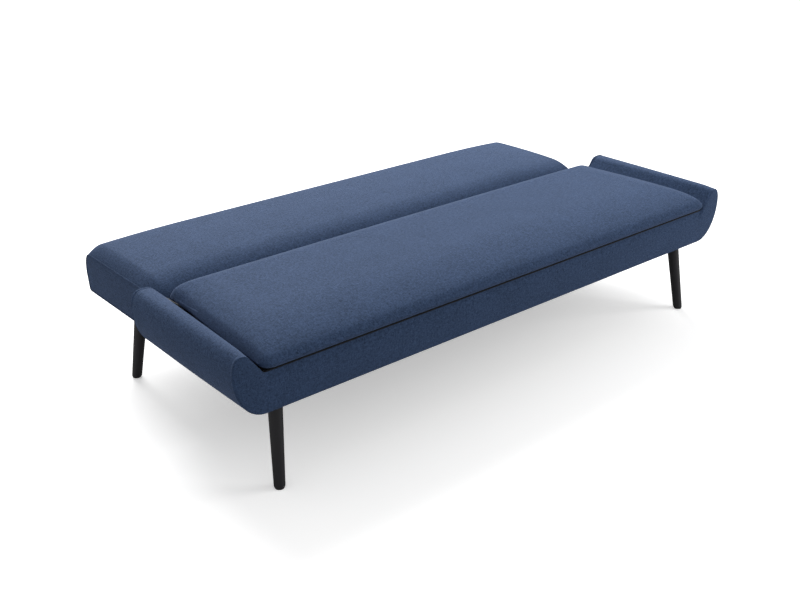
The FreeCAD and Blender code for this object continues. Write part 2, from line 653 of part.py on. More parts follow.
for side, sign in SIDES:
    for y in (103, 270):
        spot = (f"{sign} * runner_middle", y, "runner_top")
        buffers.append(rod("buffer", spot, "buffer_top - runner_top"))
    for y in (-360, -60):
        shank = rod("frame_bolt", (f"{sign} * runner_middle", y, "runner_top - 12"),
                    f"{board_top} - runner_top + 12")
        head = rod("frame_bolt * 2", (f"{sign} * runner_middle", y, board_top), 4)
        frame_bolts.append(fused([shank, head]))
node(group(buffers), "rubber_buffers")
node(group(frame_bolts), "frame_bolts")


def leg_centre(sign, foot_y, lean, height):
    """The centre of a leg's section at a height, as a pair of expressions."""
    return (f"{sign} * (leg_foot_x - leg_splay_x * ({height}))",
            f"{foot_y} + {lean} * leg_splay_y * ({height})")


def leg_radius(height):
    return f"leg_foot_radius + leg_taper * ({height} - glide_thick)"


plates = []
hanger_bolts = []
screws = []
glides = []
for name, sign, foot_y, lean, leg_top in LEGS:
    body = doc.addObject("PartDesign::Body", f"Leg{name}")
    foot = circle_sketch(body, "XY_Plane", "glide_thick", leg_centre(sign, foot_y, lean, "glide_thick"),
                         leg_radius("glide_thick"))
    top_x, top_y = leg_centre(sign, foot_y, lean, leg_top)
    top = circle_sketch(body, "XY_Plane", leg_top, (top_x, top_y), leg_radius(leg_top))
    taper = body.newObject("PartDesign::AdditiveLoft", "Taper")
    taper.Profile = foot
    taper.Sections = [top]
    taper.Ruled = True
    node(body, f"leg_{name}")
    glides.append(rod("glide", (*leg_centre(sign, foot_y, lean, 0), 0), "glide_thick"))
    across = mirrored(sign, "runner_middle - leg_plate_half", "runner_middle + leg_plate_half")
    plates.append(box(across, (f"{top_y} - leg_plate_reach", f"{top_y} + leg_plate_reach"),
                      (leg_top, f"{leg_top} + leg_plate_thick")))
    hanger_bolts.append(rod("frame_bolt", (top_x, top_y, f"{leg_top} - 30"), 44))
    for shift_x in (-14, 14):
        for shift_y in (-32, 32):
            spot = (f"{sign} * runner_middle + {shift_x}", f"{top_y} + {shift_y}")
            shank = rod("screw", (*spot, leg_top), 10)
            head = rod("screw_head", (*spot, f"{leg_top} - 1.5"), 1.5)
            screws.append(fused([shank, head]))
node(group(plates), "leg_plates")
node(group(hanger_bolts), "leg_hanger_bolts")
node(group(screws), "leg_plate_screws")
node(group(glides), "leg_glides")

doc.recompute()

# ---------------------------------------------------------------- check and write

for item in doc.Objects:
    if {"Invalid", "Error"} & set(item.State):
        raise ValueError(f"{item.Name} ({item.Label}) did not build: {item.State}")
for item in nodes:
    if item.Shape.isNull() or not item.Shape.isValid() or not item.Shape.Solids:
        raise ValueError(f"{item.Label} has no valid solid")
os.makedirs("parts", exist_ok=True)
for item in nodes:
    item.Shape.exportStep(f"parts/{item.Label}.step")
    bounds = item.Shape.BoundBox
    print(f"{item.Label:24s} {len(item.Shape.Solids):3d} solid(s) {item.Shape.Volume / 1000:10.1f} cm3  "
          f"x {bounds.XMin:8.1f} {bounds.XMax:8.1f}  y {bounds.YMin:8.1f} {bounds.YMax:8.1f}  "
          f"z {bounds.ZMin:7.1f} {bounds.ZMax:7.1f}")
print(len(nodes), "nodes")
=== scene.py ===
import json
import logging
import math
from dataclasses import dataclass
from enum import Enum
from functools import cache

import bmesh
import bpy
import numpy as np
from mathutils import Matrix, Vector


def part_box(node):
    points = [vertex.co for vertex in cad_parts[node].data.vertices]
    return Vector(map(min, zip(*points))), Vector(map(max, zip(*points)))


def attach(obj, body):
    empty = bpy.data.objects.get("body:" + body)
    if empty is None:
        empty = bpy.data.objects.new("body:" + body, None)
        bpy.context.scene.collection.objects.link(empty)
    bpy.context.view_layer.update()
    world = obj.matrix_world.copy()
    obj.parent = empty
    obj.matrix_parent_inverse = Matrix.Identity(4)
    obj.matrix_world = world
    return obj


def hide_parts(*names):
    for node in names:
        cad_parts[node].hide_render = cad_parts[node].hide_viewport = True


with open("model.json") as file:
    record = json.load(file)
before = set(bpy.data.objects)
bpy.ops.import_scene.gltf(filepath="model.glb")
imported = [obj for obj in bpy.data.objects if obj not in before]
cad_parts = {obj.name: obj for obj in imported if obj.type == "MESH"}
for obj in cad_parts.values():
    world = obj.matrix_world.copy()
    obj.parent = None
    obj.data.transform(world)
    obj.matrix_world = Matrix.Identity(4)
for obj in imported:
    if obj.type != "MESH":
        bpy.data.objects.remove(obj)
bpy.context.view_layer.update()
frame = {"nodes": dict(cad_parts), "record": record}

log = logging.getLogger("futon_sofa_bed")
MILLI = 0.001
TINY = 1e-12
Array = np.ndarray
Pair = tuple[float, float]
Triple = tuple[float, float, float]
Piece = bpy.types.Object
Material = bpy.types.Material
Tree = bpy.types.NodeTree
Socket = bpy.types.NodeSocket


class Body(Enum):
    """The bodies that the pieces ride on."""

    BASE = "base"
    BACKREST = "backrest"


class Slot(Enum):
    """The record's material slots."""

    WEAVE = "navy_weave"
    LINING = "black_lining"
    FELT = "grey_felt"
    FOAM = "foam"
    PLYWOOD = "plywood"
    PINE = "pine"
    LEG_WOOD = "black_wood"
    BLACK_STEEL = "black_steel"
    BRIGHT_STEEL = "bright_steel"
    RUBBER = "black_rubber"
    PLASTIC = "black_plastic"


# --- surfaces

def smooth_step(low: float, high: float, value: Array) -> Array:
    """A ramp from 0 at low to 1 at high that eases in and out.

    Args:
        low: Where the ramp starts.
        high: Where the ramp ends.
        value: The places to read it at.

    Returns:
        The ramp: 3 t squared less 2 t cubed, with t the clipped share of the way.
    """
    t = np.clip((value - low) / (high - low), 0.0, 1.0)
    return t * t * (3.0 - 2.0 * t)


def roll(distance: Array, width: float, front: float = 2.0, top: float = 2.0) -> Array:
    """The rise of upholstery from an edge, a superellipse quarter.

    Args:
        distance: How far in from the edge.
        width: The distance over which it rises.
        front: Exponent across; higher leaves the edge more steeply.
        top: Root; higher makes the shoulder fuller.

    Returns:
        (1 - (1 - distance / width) ^ front) ^ (1 / top), 0 at the edge and 1 past the width.
    """
    share = 1.0 - np.clip(distance / width, 0.0, 1.0)
    return np.clip(1.0 - share**front, 0.0, 1.0) ** (1.0 / top)


def along(loop: Array, count: int) -> Array:
    """A closed loop with its points spread evenly by length.

    Args:
        loop: Points, one row each.
        count: How many points to return.

    Returns:
        The new points, without a repeat of the first one.
    """
    path = np.vstack([loop, loop[:1]])
    steps = np.linalg.norm(np.diff(path, axis=0), axis=1)
    lengths = np.concatenate([[0.0], np.cumsum(steps)])
    places = np.linspace(0.0, lengths[-1], count, endpoint=False)
    return np.stack([np.interp(places, lengths, way) for way in path.T], axis=1)


def softened(loop: Array, times: int) -> Array:
    """A closed loop with its corners eased: each point goes to a quarter, half, quarter mean."""
    for _ in range(times):
        loop = 0.25 * np.roll(loop, 1, axis=0) + 0.5 * loop + 0.25 * np.roll(loop, -1, axis=0)
    return loop


def eased(count: int) -> Array:
    """Shares from 0 to 1 that lie closer together at both ends, by a half turn of a cosine."""
    return 0.5 - 0.5 * np.cos(np.linspace(0.0, math.pi, count))


def fallen(share: Array) -> Array:
    """How far a quarter round has fallen, 0 to 1, at a share of the way out to its edge."""
    return 1.0 - np.sqrt(1.0 - share**2)


def crowded(flat: float, reach: float, ends: int, middle: int) -> Array:
    """Stations along X, even in the middle and ever closer together towards both ends.

    Args:
        flat: How far the even part goes on either side.
        reach: The last station.
        ends: How many stations each end has.
        middle: How many stations the even part has.

    Returns:
        The stations; past the even part they are flat + (reach - flat) sin(turn).
    """
    turn = np.linspace(0.0, math.pi / 2, ends + 1)[1:]
    tail = flat + (reach - flat) * np.sin(turn)
    return np.concatenate([-tail[::-1], np.linspace(-flat, flat, middle), tail])


def edge_distance(points: Array, outline: Array) -> Array:
    """How far each 2-D point is from a closed outline.

    Args:
        points: Points, in an array of any shape that ends in 2.
        outline: The outline's corners, one row each.

    Returns:
        For each point, the least distance to the outline's segments.
    """
    start = outline[None, :, :]
    run = np.roll(outline, -1, axis=0)[None, :, :] - start
    offset = points.reshape(-1, 1, 2) - start
    share = np.clip((offset * run).sum(2) / np.maximum((run * run).sum(2), TINY), 0.0, 1.0)
    gaps = np.sqrt((((offset - share[:, :, None] * run) ** 2).sum(2)).min(1))
    return gaps.reshape(points.shape[:-1])


def mirrored(right: Array) -> Array:
    """A closed outline from its right half."""
    return np.vstack([right, right[::-1] * np.array([-1.0, 1.0])])


def filled(right: Array, x: Array, middle: Pair, count: int) -> tuple[Array, Array, Array]:
    """Spots inside an outline that is the same on both sides.

    Args:
        right: Its right half, from the lower edge over the widest spot to the upper edge.
        x: The stations across.
        middle: The lower and the upper edge where the right half doesn't reach.
        count: How many spots each station has.

    Returns:
        Each spot's first and second coordinate, and its distance from the outline.
    """
    widest = int(np.argmax(right[:, 0]))
    low = np.interp(np.abs(x), *right[: widest + 1].T, left=middle[0])
    high = np.interp(np.abs(x), *right[widest:][::-1].T, left=middle[1])
    up = low[:, None] + (high - low)[:, None] * eased(count)[None, :]
    across = np.repeat(x[:, None], count, 1)
    return across, up, edge_distance(np.stack([across, up], 2), mirrored(right))


def swept(x: Array, sections: Array) -> Array:
    """A grid of points from X and sections in Y and Z.

    Args:
        x: X of each row, or of each row and column.
        sections: One section for all of the rows, or one for each.

    Returns:
        Points, rows by columns by 3.
    """
    grid = np.zeros((len(x), sections.shape[-2], 3))
    grid[..., 0] = x if x.ndim == 2 else x[:, None]
    grid[..., 1:] = sections
    return grid


def linked(name: str, data: bpy.types.ID) -> Piece:
    """A new object in the scene for a mesh, a lamp or a camera."""
    made = bpy.data.objects.new(name, data)
    bpy.context.scene.collection.objects.link(made)
    return made


def mesh_from_grid(name: str, grid: Array, closed_rows: bool = True, capped: bool = True) -> Piece:
    """An object from a grid of points, rows along the piece and columns round it.

    Args:
        name: The object's name.
        grid: Points, rows by columns by 3.
        closed_rows: True if each row is a closed loop.
        capped: True to close the first and last row with a fan to its middle.

    Returns:
        The linked object, smooth, with its weave UVs in metres; a closed one faces outwards.
    """
    rows, columns = grid.shape[:2]
    index = np.arange(rows * columns).reshape(rows, columns)
    after = np.roll(index, -1, axis=1) if closed_rows else index[:, 1:]
    before = index if closed_rows else index[:, :-1]
    quads = np.stack([before[:-1], after[:-1], after[1:], before[1:]], axis=-1).reshape(-1, 4)
    points = grid.reshape(-1, 3)
    fans = np.zeros((0, 3), int)
    if capped:
        middles = np.stack([grid[0].mean(0), grid[-1].mean(0)])
        points = np.vstack([points, middles])
        first, last = rows * columns, rows * columns + 1
        fans = np.vstack([
            np.stack([after[0], before[0], np.full(after.shape[1], first)], axis=1),
            np.stack([before[-1], after[-1], np.full(after.shape[1], last)], axis=1),
        ])
    mesh = bpy.data.meshes.new(name)
    mesh.from_pydata(points.tolist(), [], quads.tolist() + fans.tolist())
    around = np.linalg.norm(np.diff(grid, axis=1, append=grid[:, :1]), axis=2)
    lengthwise = np.linalg.norm(np.diff(grid, axis=0), axis=2).mean(1)
    across = np.concatenate([[0.0], np.cumsum(around.mean(0)[:-1])])
    down = np.concatenate([[0.0], np.cumsum(lengthwise)])
    spots = np.zeros((len(points), 2))
    spots[: rows * columns, 0] = np.repeat(down, columns)
    spots[: rows * columns, 1] = np.tile(across, rows)
    if capped:
        spots[rows * columns:] = [[down[0], across.mean()], [down[-1], across.mean()]]
    corners = np.zeros(len(mesh.loops), int)
    mesh.loops.foreach_get("vertex_index", corners)
    weave = spots[corners]
    if closed_rows:
        seam = across[-1] + around.mean(0)[-1]
        starts = np.arange(len(quads)) * 4
        wrapping = np.tile(np.arange(columns) == columns - 1, rows - 1)
        for corner in (1, 2):
            weave[starts[wrapping] + corner, 1] = seam
    layer = mesh.uv_layers.new(name="weave")
    layer.data.foreach_set("uv", weave.astype(np.float32).ravel())
    mesh.polygons.foreach_set("use_smooth", np.ones(len(mesh.polygons), bool))
    mesh.update()
    if closed_rows:
        face_out(mesh)
    return linked(name, mesh)


def face_out(mesh: bpy.types.Mesh) -> None:
    """Turn a closed mesh's faces outwards if its signed volume is negative."""
    mesh.calc_loop_triangles()
    corners = np.zeros(len(mesh.loop_triangles) * 3, int)
    mesh.loop_triangles.foreach_get("vertices", corners)
    places = np.zeros(len(mesh.vertices) * 3)
    mesh.vertices.foreach_get("co", places)
    a, b, c = places.reshape(-1, 3)[corners].reshape(-1, 3, 3).transpose(1, 0, 2)
    if (a * np.cross(b, c)).sum() < 0.0:
        mesh.flip_normals()


def recalculated(piece: Piece) -> Piece:
    """Point the faces of a piece made of several closed parts outwards."""
    work = bmesh.new()
    work.from_mesh(piece.data)
    bmesh.ops.recalc_face_normals(work, faces=work.faces)
    work.to_mesh(piece.data)
    work.free()
    return piece


def tube(name: str, path: Array, radius: float, sides: int = 10) -> Piece:
    """A round welt carried along a closed path.

    Args:
        name: The object's name.
        path: Points in metres, one row each.
        radius: The welt's radius.
        sides: Corners round the welt.

    Returns:
        The welt. Each ring is the circle of that radius square to the path's direction there.
    """
    ahead = np.roll(path, -1, axis=0) - np.roll(path, 1, axis=0)
    ahead /= np.linalg.norm(ahead, axis=1, keepdims=True)
    steady = np.zeros(3)
    steady[np.argmin(np.ptp(path, axis=0))] = 1.0
    side = np.cross(ahead, steady)
    side /= np.linalg.norm(side, axis=1, keepdims=True)
    up = np.cross(side, ahead)
    turn = np.linspace(0.0, 2.0 * math.pi, sides, endpoint=False)
    rings = (path[:, None, :] + radius * np.cos(turn)[None, :, None] * side[:, None, :]
             + radius * np.sin(turn)[None, :, None] * up[:, None, :])
    return merge(mesh_from_grid(name, np.concatenate([rings, rings[:1]]), capped=False))


def merge(piece: Piece, reach: float = 1e-5) -> Piece:
    """Join a piece's doubled points, where its grid meets itself."""
    work = bmesh.new()
    work.from_mesh(piece.data)
    bmesh.ops.remove_doubles(work, verts=work.verts, dist=reach)
    bmesh.ops.dissolve_degenerate(work, edges=work.edges, dist=reach / 10)
    work.to_mesh(piece.data)
    work.free()
    return piece


# --- finishes

class Shader:
    """A short way to lay out a material's or a group's nodes."""

    def __init__(self, tree: Tree) -> None:
        """Keep the tree that the nodes go into."""
        self.tree = tree

    def feed(self, node: bpy.types.Node, inputs: dict) -> bpy.types.Node:
        """Fill a node's inputs: a socket is linked and anything else is stored.

        Args:
            node: The node.
            inputs: Values or sockets by input name or number.

        Returns:
            The same node.
        """
        for name, value in inputs.items():
            if isinstance(value, Socket):
                self.tree.links.new(value, node.inputs[name])
            else:
                node.inputs[name].default_value = value
        return node

    def node(self, kind: str, inputs: dict | None = None, **settings: object) -> bpy.types.Node:
        """Add a node.

        Args:
            kind: The node's type.
            inputs: Values or sockets by input name or number.
            settings: The node's own properties.

        Returns:
            The new node.
        """
        made = self.tree.nodes.new(kind)
        for name, value in settings.items():
            setattr(made, name, value)
        return self.feed(made, inputs or {})

    def math(self, operation: str, *values: object) -> Socket:
        """The result of a Math node on sockets or numbers."""
        return self.node("ShaderNodeMath", dict(enumerate(values)), operation=operation).outputs[0]

    def weighted(self, *terms: tuple[object, object]) -> Socket:
        """The sum of some values, each times its weight."""
        total, *others = (self.math("MULTIPLY", value, weight) for value, weight in terms)
        for term in others:
            total = self.math("ADD", total, term)
        return total

    def mix(self, share: object, low: object, high: object) -> Socket:
        """A colour between two, by a share."""
        return self.node("ShaderNodeMix", {0: share, 6: low, 7: high}, data_type="RGBA").outputs[2]

    def noise(self, vector: Socket, scale: object, detail: float = 2.0,
              roughness: float = 0.5) -> Socket:
        """A noise value, about 0.5 in the mean."""
        inputs = {"Vector": vector, "Scale": scale, "Detail": detail, "Roughness": roughness}
        return self.node("ShaderNodeTexNoise", inputs).outputs[0]


def new_group(name: str, vectors: tuple[str, ...],
              number: str) -> tuple[Shader, bpy.types.bpy_prop_collection, bpy.types.Node]:
    """An empty shader node group that gives a Tone and a Height.

    Args:
        name: The group's name.
        vectors: Its vector inputs.
        number: Its one number input.

    Returns:
        A shader for its tree, the sockets of its input node, and its output node.
    """
    tree = bpy.data.node_groups.new(name, "ShaderNodeTree")
    for socket in vectors:
        tree.interface.new_socket(socket, in_out="INPUT", socket_type="NodeSocketVector")
    tree.interface.new_socket(number, in_out="INPUT", socket_type="NodeSocketFloat")
    for socket in ("Tone", "Height"):
        tree.interface.new_socket(socket, in_out="OUTPUT", socket_type="NodeSocketFloat")
    source = tree.nodes.new("NodeGroupInput")
    return Shader(tree), source.outputs, tree.nodes.new("NodeGroupOutput")


def melange_weave_group() -> Tree:
    """Plain weave of mixed yarns.

    Over and under alternate on a checker of the yarn pitch. Each yarn has a tone of its own, cut
    to short lengths, and soft noise in the cloth's own space adds the wool's mottle.

    Returns:
        The group: Weave, Place and Pitch in, Tone and Height out.
    """
    above_zero, pitches_per_tone, mean_tone = 40000.0, 7.0, 0.865
    s, source, sink = new_group("melange_weave", ("Weave", "Place"), "Pitch")
    split = s.node("ShaderNodeSeparateXYZ", {0: source["Weave"]})
    warp, weft = (s.math("DIVIDE", split.outputs[way], source["Pitch"]) for way in (0, 1))
    warp_yarn, weft_yarn = (s.math("FLOOR", run) for run in (warp, weft))
    count = s.math("ADD", warp_yarn, s.math("ADD", weft_yarn, above_zero))
    parity = s.math("MODULO", count, 2.0)
    under = s.math("SUBTRACT", 1.0, parity)
    warp_round, weft_round = (
        s.math("ABSOLUTE", s.math("SINE", s.math("MULTIPLY", run, math.pi))) for run in (warp, weft)
    )
    tones = []
    for yarn, run in ((warp_yarn, weft), (weft_yarn, warp)):
        stretch = s.math("FLOOR", s.math("DIVIDE", run, pitches_per_tone))
        spot = s.node("ShaderNodeCombineXYZ", {0: yarn, 1: stretch, 2: float(len(tones))})
        tones.append(s.node("ShaderNodeTexWhiteNoise", {"Vector": spot.outputs[0]}).outputs[0])
    mottle = s.noise(source["Place"], 150.0, 3.0, 0.7)
    cloud = s.noise(source["Place"], 9.0)
    fleck = s.noise(source["Place"], 340.0, roughness=0.6)
    fuzz = s.noise(source["Place"], 900.0, roughness=0.6)
    yarn_tone = s.weighted((tones[0], parity), (tones[1], under))
    yarn_round = s.weighted((warp_round, parity), (weft_round, under))
    tone = s.weighted((mottle, 1.1), (fleck, 1.0), (cloud, 0.20), (yarn_tone, 0.45))
    height = s.weighted((fuzz, 0.35), (mottle, 0.5), (yarn_round, 0.7))
    s.feed(sink, {"Tone": s.math("SUBTRACT", tone, mean_tone), "Height": height})
    return s.tree


def grain_group() -> Tree:
    """Long grain: noise drawn out along one axis over slow rings.

    Returns:
        The group: Place, Draw and Scale in, Tone and Height out.
    """
    s, source, sink = new_group("long_grain", ("Place", "Draw"), "Scale")
    drawn = s.node("ShaderNodeVectorMath", {0: source["Place"], 1: source["Draw"]},
                   operation="MULTIPLY").outputs[0]
    fine = s.noise(drawn, source["Scale"], 5.0, 0.65)
    rings = s.math("PINGPONG", s.math("MULTIPLY", s.noise(drawn, 7.0), 9.0), 1.0)
    s.feed(sink, {"Tone": s.weighted((fine, 0.6), (rings, 0.4)), "Height": fine})
    return s.tree


def speckle_group() -> Tree:
    """Fine and coarse specks for paint, rubber, felt and bonded cloth.

    Returns:
        The group: Place and Scale in, Tone and Height out.
    """
    s, source, sink = new_group("speckle", ("Place",), "Scale")
    fine = s.noise(source["Place"], source["Scale"], 4.0, 0.7)
    coarse = s.noise(source["Place"], 22.0)
    s.feed(sink, {"Tone": s.weighted((fine, 0.6), (coarse, 0.4)), "Height": fine})
    return s.tree


@cache
def group_named(name: str) -> Tree:
    """The shared node group of that name, built on first use."""
    makers = {"melange_weave": melange_weave_group, "long_grain": grain_group, "speckle": speckle_group}
    return makers[name]()


def colour(red: float, green: float, blue: float) -> tuple[float, float, float, float]:
    """A linear colour from screen values of 0 to 255."""
    linear = []
    for value in (red, green, blue):
        share = value / 255.0
        linear.append(share / 12.92 if share <= 0.04045 else ((share + 0.055) / 1.055) ** 2.4)
    return (*linear, 1.0)


@dataclass(frozen=True)
class Finish:
    """A finish between two tones, in screen values of 0 to 255."""

    name: str
    dark: Triple
    light: Triple

    def patterned(self, group: str, inputs: dict, rough: Pair, bump: Pair,
                  others: dict) -> Material:
        """A material whose colour, roughness and relief come from a shared node group.

        Args:
            group: The node group's name.
            inputs: The group's own inputs.
            rough: How the roughness changes with the tone, and its value at tone 0.
            bump: The relief's strength, and its depth in metres.
            others: Further inputs of the surface.

        Returns:
            The material.
        """
        made = bpy.data.materials.new(self.name)
        made.use_nodes = True
        s = Shader(made.node_tree)
        place = s.node("ShaderNodeTexCoord").outputs["Object"]
        pattern = s.node("ShaderNodeGroup", {"Place": place, **inputs}, node_tree=group_named(group))
        if "Weave" in pattern.inputs:
            s.feed(pattern, {"Weave": s.node("ShaderNodeUVMap", uv_map="weave").outputs[0]})
        tone, height = pattern.outputs["Tone"], pattern.outputs["Height"]
        relief = s.node("ShaderNodeBump", {"Height": height, "Strength": bump[0], "Distance": bump[1]})
        s.feed(made.node_tree.nodes["Principled BSDF"], {
            "Base Color": s.mix(tone, colour(*self.dark), colour(*self.light)),
            "Roughness": s.math("ADD", s.math("MULTIPLY", tone, rough[0]), rough[1]),
            "Normal": relief.outputs[0],
            **others,
        })
        return made


@dataclass(frozen=True)
class Woven(Finish):
    """A wool-like upholstery cloth of mixed yarns."""

    pitch: float = 1.25 * MILLI
    relief: float = 0.35 * MILLI
    sheen: float = 0.25
    sheen_tint: Triple = (150, 170, 210)

    def material(self) -> Material:
        """The cloth's material, read along the piece's own weave map."""
        sheen = {"Sheen Weight": self.sheen, "Sheen Roughness": 0.45,
                 "Sheen Tint": colour(*self.sheen_tint), "Specular IOR Level": 0.2}
        return self.patterned("melange_weave", {"Pitch": self.pitch}, (-0.12, 0.97),
                              (0.55, self.relief), sheen)


@dataclass(frozen=True)
class Grained(Finish):
    """Timber, raw or stained, with its grain along one axis."""

    roughness: float
    draw: Triple = (1.0, 1.0, 0.08)
    scale: float = 160.0
    coat: float = 0.0
    relief: float = 0.4 * MILLI

    def material(self) -> Material:
        """The timber's material; its draw is small along the grain."""
        return self.patterned("long_grain", {"Scale": self.scale, "Draw": self.draw},
                              (0.18, self.roughness - 0.09), (0.25, self.relief),
                              {"Coat Weight": self.coat, "Coat Roughness": 0.3})


@dataclass(frozen=True)
class Speckled(Finish):
    """Paint, rubber, steel, felt or bonded cloth: one tone with fine specks."""

    roughness: float
    metallic: float = 0.0
    scale: float = 700.0
    relief: float = 0.15 * MILLI

    def material(self) -> Material:
        """The speckled material."""
        return self.patterned("speckle", {"Scale": self.scale}, (0.2, self.roughness - 0.1),
                              (0.4, self.relief), {"Metallic": self.metallic})


FINISHES = {Slot(finish.name): finish for finish in (
    Woven("navy_weave", (17, 33, 51), (59, 79, 113)),
    # black_lining: the dust cloths' own black, also used as painted shade on the deck and on CAD cloth in
    # the gaps
    Speckled("black_lining", (7, 9, 14), (15, 18, 25), 0.9),
    Speckled("grey_felt", (70, 70, 72), (120, 120, 122), 0.95, relief=0.5 * MILLI),
    Speckled("foam", (190, 184, 160), (226, 220, 200), 0.9, scale=400.0),
    Grained("plywood", (150, 112, 72), (206, 172, 128), 0.6, draw=(0.08, 1.0, 1.0)),
    Grained("pine", (178, 138, 92), (222, 190, 144), 0.6, draw=(0.08, 1.0, 1.0)),
    Grained("black_wood", (11, 10, 13), (22, 20, 26), 0.6, coat=0.02),
    Speckled("black_steel", (9, 10, 12), (16, 17, 20), 0.7),
    Speckled("bright_steel", (150, 150, 152), (196, 196, 198), 0.35, metallic=1.0),
    Speckled("black_rubber", (20, 20, 20), (34, 34, 34), 0.8),
    Speckled("black_plastic", (18, 18, 19), (28, 28, 29), 0.55),
)}


@cache
def finish_of(slot: Slot) -> Material:
    """The material of a slot, made once."""
    return FINISHES[slot].material()


def dress(piece: Piece, slot: Slot, body: Body, *stands_for: str) -> Piece:
    """Give a new piece its finish, its body and the nodes that it stands for.

    Args:
        piece: The piece, in place.
        slot: Its material slot.
        body: The body that it rides on.
        stands_for: The CAD nodes that it replaces.

    Returns:
        The piece.
    """
    piece.data.materials.clear()
    piece.data.materials.append(finish_of(slot))
    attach(piece, body.value)
    if stands_for:
        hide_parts(*stands_for)
    log.info("%s: %d faces on %s", piece.name, len(piece.data.polygons), body.value)
    return piece


# --- the tub

@dataclass(frozen=True)
class BoatOutline:
    """The tub seen from the front: a flat keel whose ends swell up into two tips."""

    keel_half: float = 0.925
    reach: float = 0.095
    widest: float = 0.390
    tip: Pair = (0.992, 0.443)
    head: Pair = (0.971, 0.4355)
    slope_foot: Pair = (0.930, 0.380)
    tuck: Pair = (0.922, 0.366)
    bottom: float = 0.2592
    top_corner: float = 0.924
    roundness: float = 0.92

    def outer(self) -> Array:
        """From the keel's end up to the tip: a quarter ellipse, then a narrow one over it."""
        low = np.linspace(-math.pi / 2, 0.0, 60)
        rise = self.widest - self.bottom
        bilge = np.stack([self.keel_half + self.reach * np.cos(low), self.widest + rise * np.sin(low)], 1)
        high = np.linspace(0.0, math.pi / 2, 40)[1:]
        across = self.keel_half + self.reach - self.tip[0]
        over = self.tip[1] - self.widest
        tip = np.stack([self.tip[0] + across * np.cos(high) ** self.roundness,
                        self.widest + over * np.sin(high) ** self.roundness], 1)
        return np.vstack([bilge, tip])

    def inner(self) -> Array:
        """From the tip over the rounded top and down the inner slope to its foot."""
        share = np.linspace(0.0, 1.0, 16)[1:, None]
        tip, head, foot = (np.array(p) for p in (self.tip, self.head, self.slope_foot))
        fall = (foot - head) / (foot[1] - head[1])
        shoulder = head + fall * (tip[1] - head[1])
        crown = (1 - share) ** 2 * tip + 2 * share * (1 - share) * shoulder + share**2 * head
        return np.vstack([crown, head + (foot - head) * share])

    def arm_loop(self, count: int) -> Array:
        """The right arm's closed section in X and Z, evenly spaced, its corners eased."""
        hidden = np.array([self.tuck, [self.tuck[0], self.bottom]])
        return softened(along(np.vstack([self.outer(), self.inner(), hidden]), count), 2)

    def front_loop(self, top: float) -> Array:
        """The whole closed outline in X and Z with a straight upper edge at the given height."""
        inner = self.inner()
        above = inner[inner[:, 1] > top + MILLI]
        return mirrored(np.vstack([self.outer(), above, [[self.top_corner, top]]]))


FRONT_OUTLINE = BoatOutline()
REAR_OUTLINE = BoatOutline(tip=(0.990, 0.4466), head=(0.9520, 0.4405), slope_foot=(0.9125, 0.4005),
                           tuck=(0.9225, 0.386), top_corner=0.9115)


def outward_of(loop: Array) -> Array:
    """For each point of a closed loop that runs anticlockwise, the unit direction out of it."""
    ahead = np.roll(loop, -1, axis=0) - np.roll(loop, 1, axis=0)
    out = np.stack([ahead[:, 1], -ahead[:, 0]], 1)
    return out / np.linalg.norm(out, axis=1, keepdims=True)


REAR_BULGE_ACROSS = (0.925, 0.955)
REAR_BULGE_UP = (0.375, 0.425)
RECESS_ENDS = (0.935, 0.915)


def bulging(across: Array, up: Array) -> Array:
    """How far a spot of a rear arm end is pushed back: 1 at the head and 0 by the hinge."""
    return smooth_step(*REAR_BULGE_ACROSS, np.abs(across)) * smooth_step(*REAR_BULGE_UP, up)


def recessed(across: Array) -> Array:
    """How much a spot of the front's upper edge is set back: 1 between the arms and 0 on them."""
    return smooth_step(*RECESS_ENDS, np.abs(across))


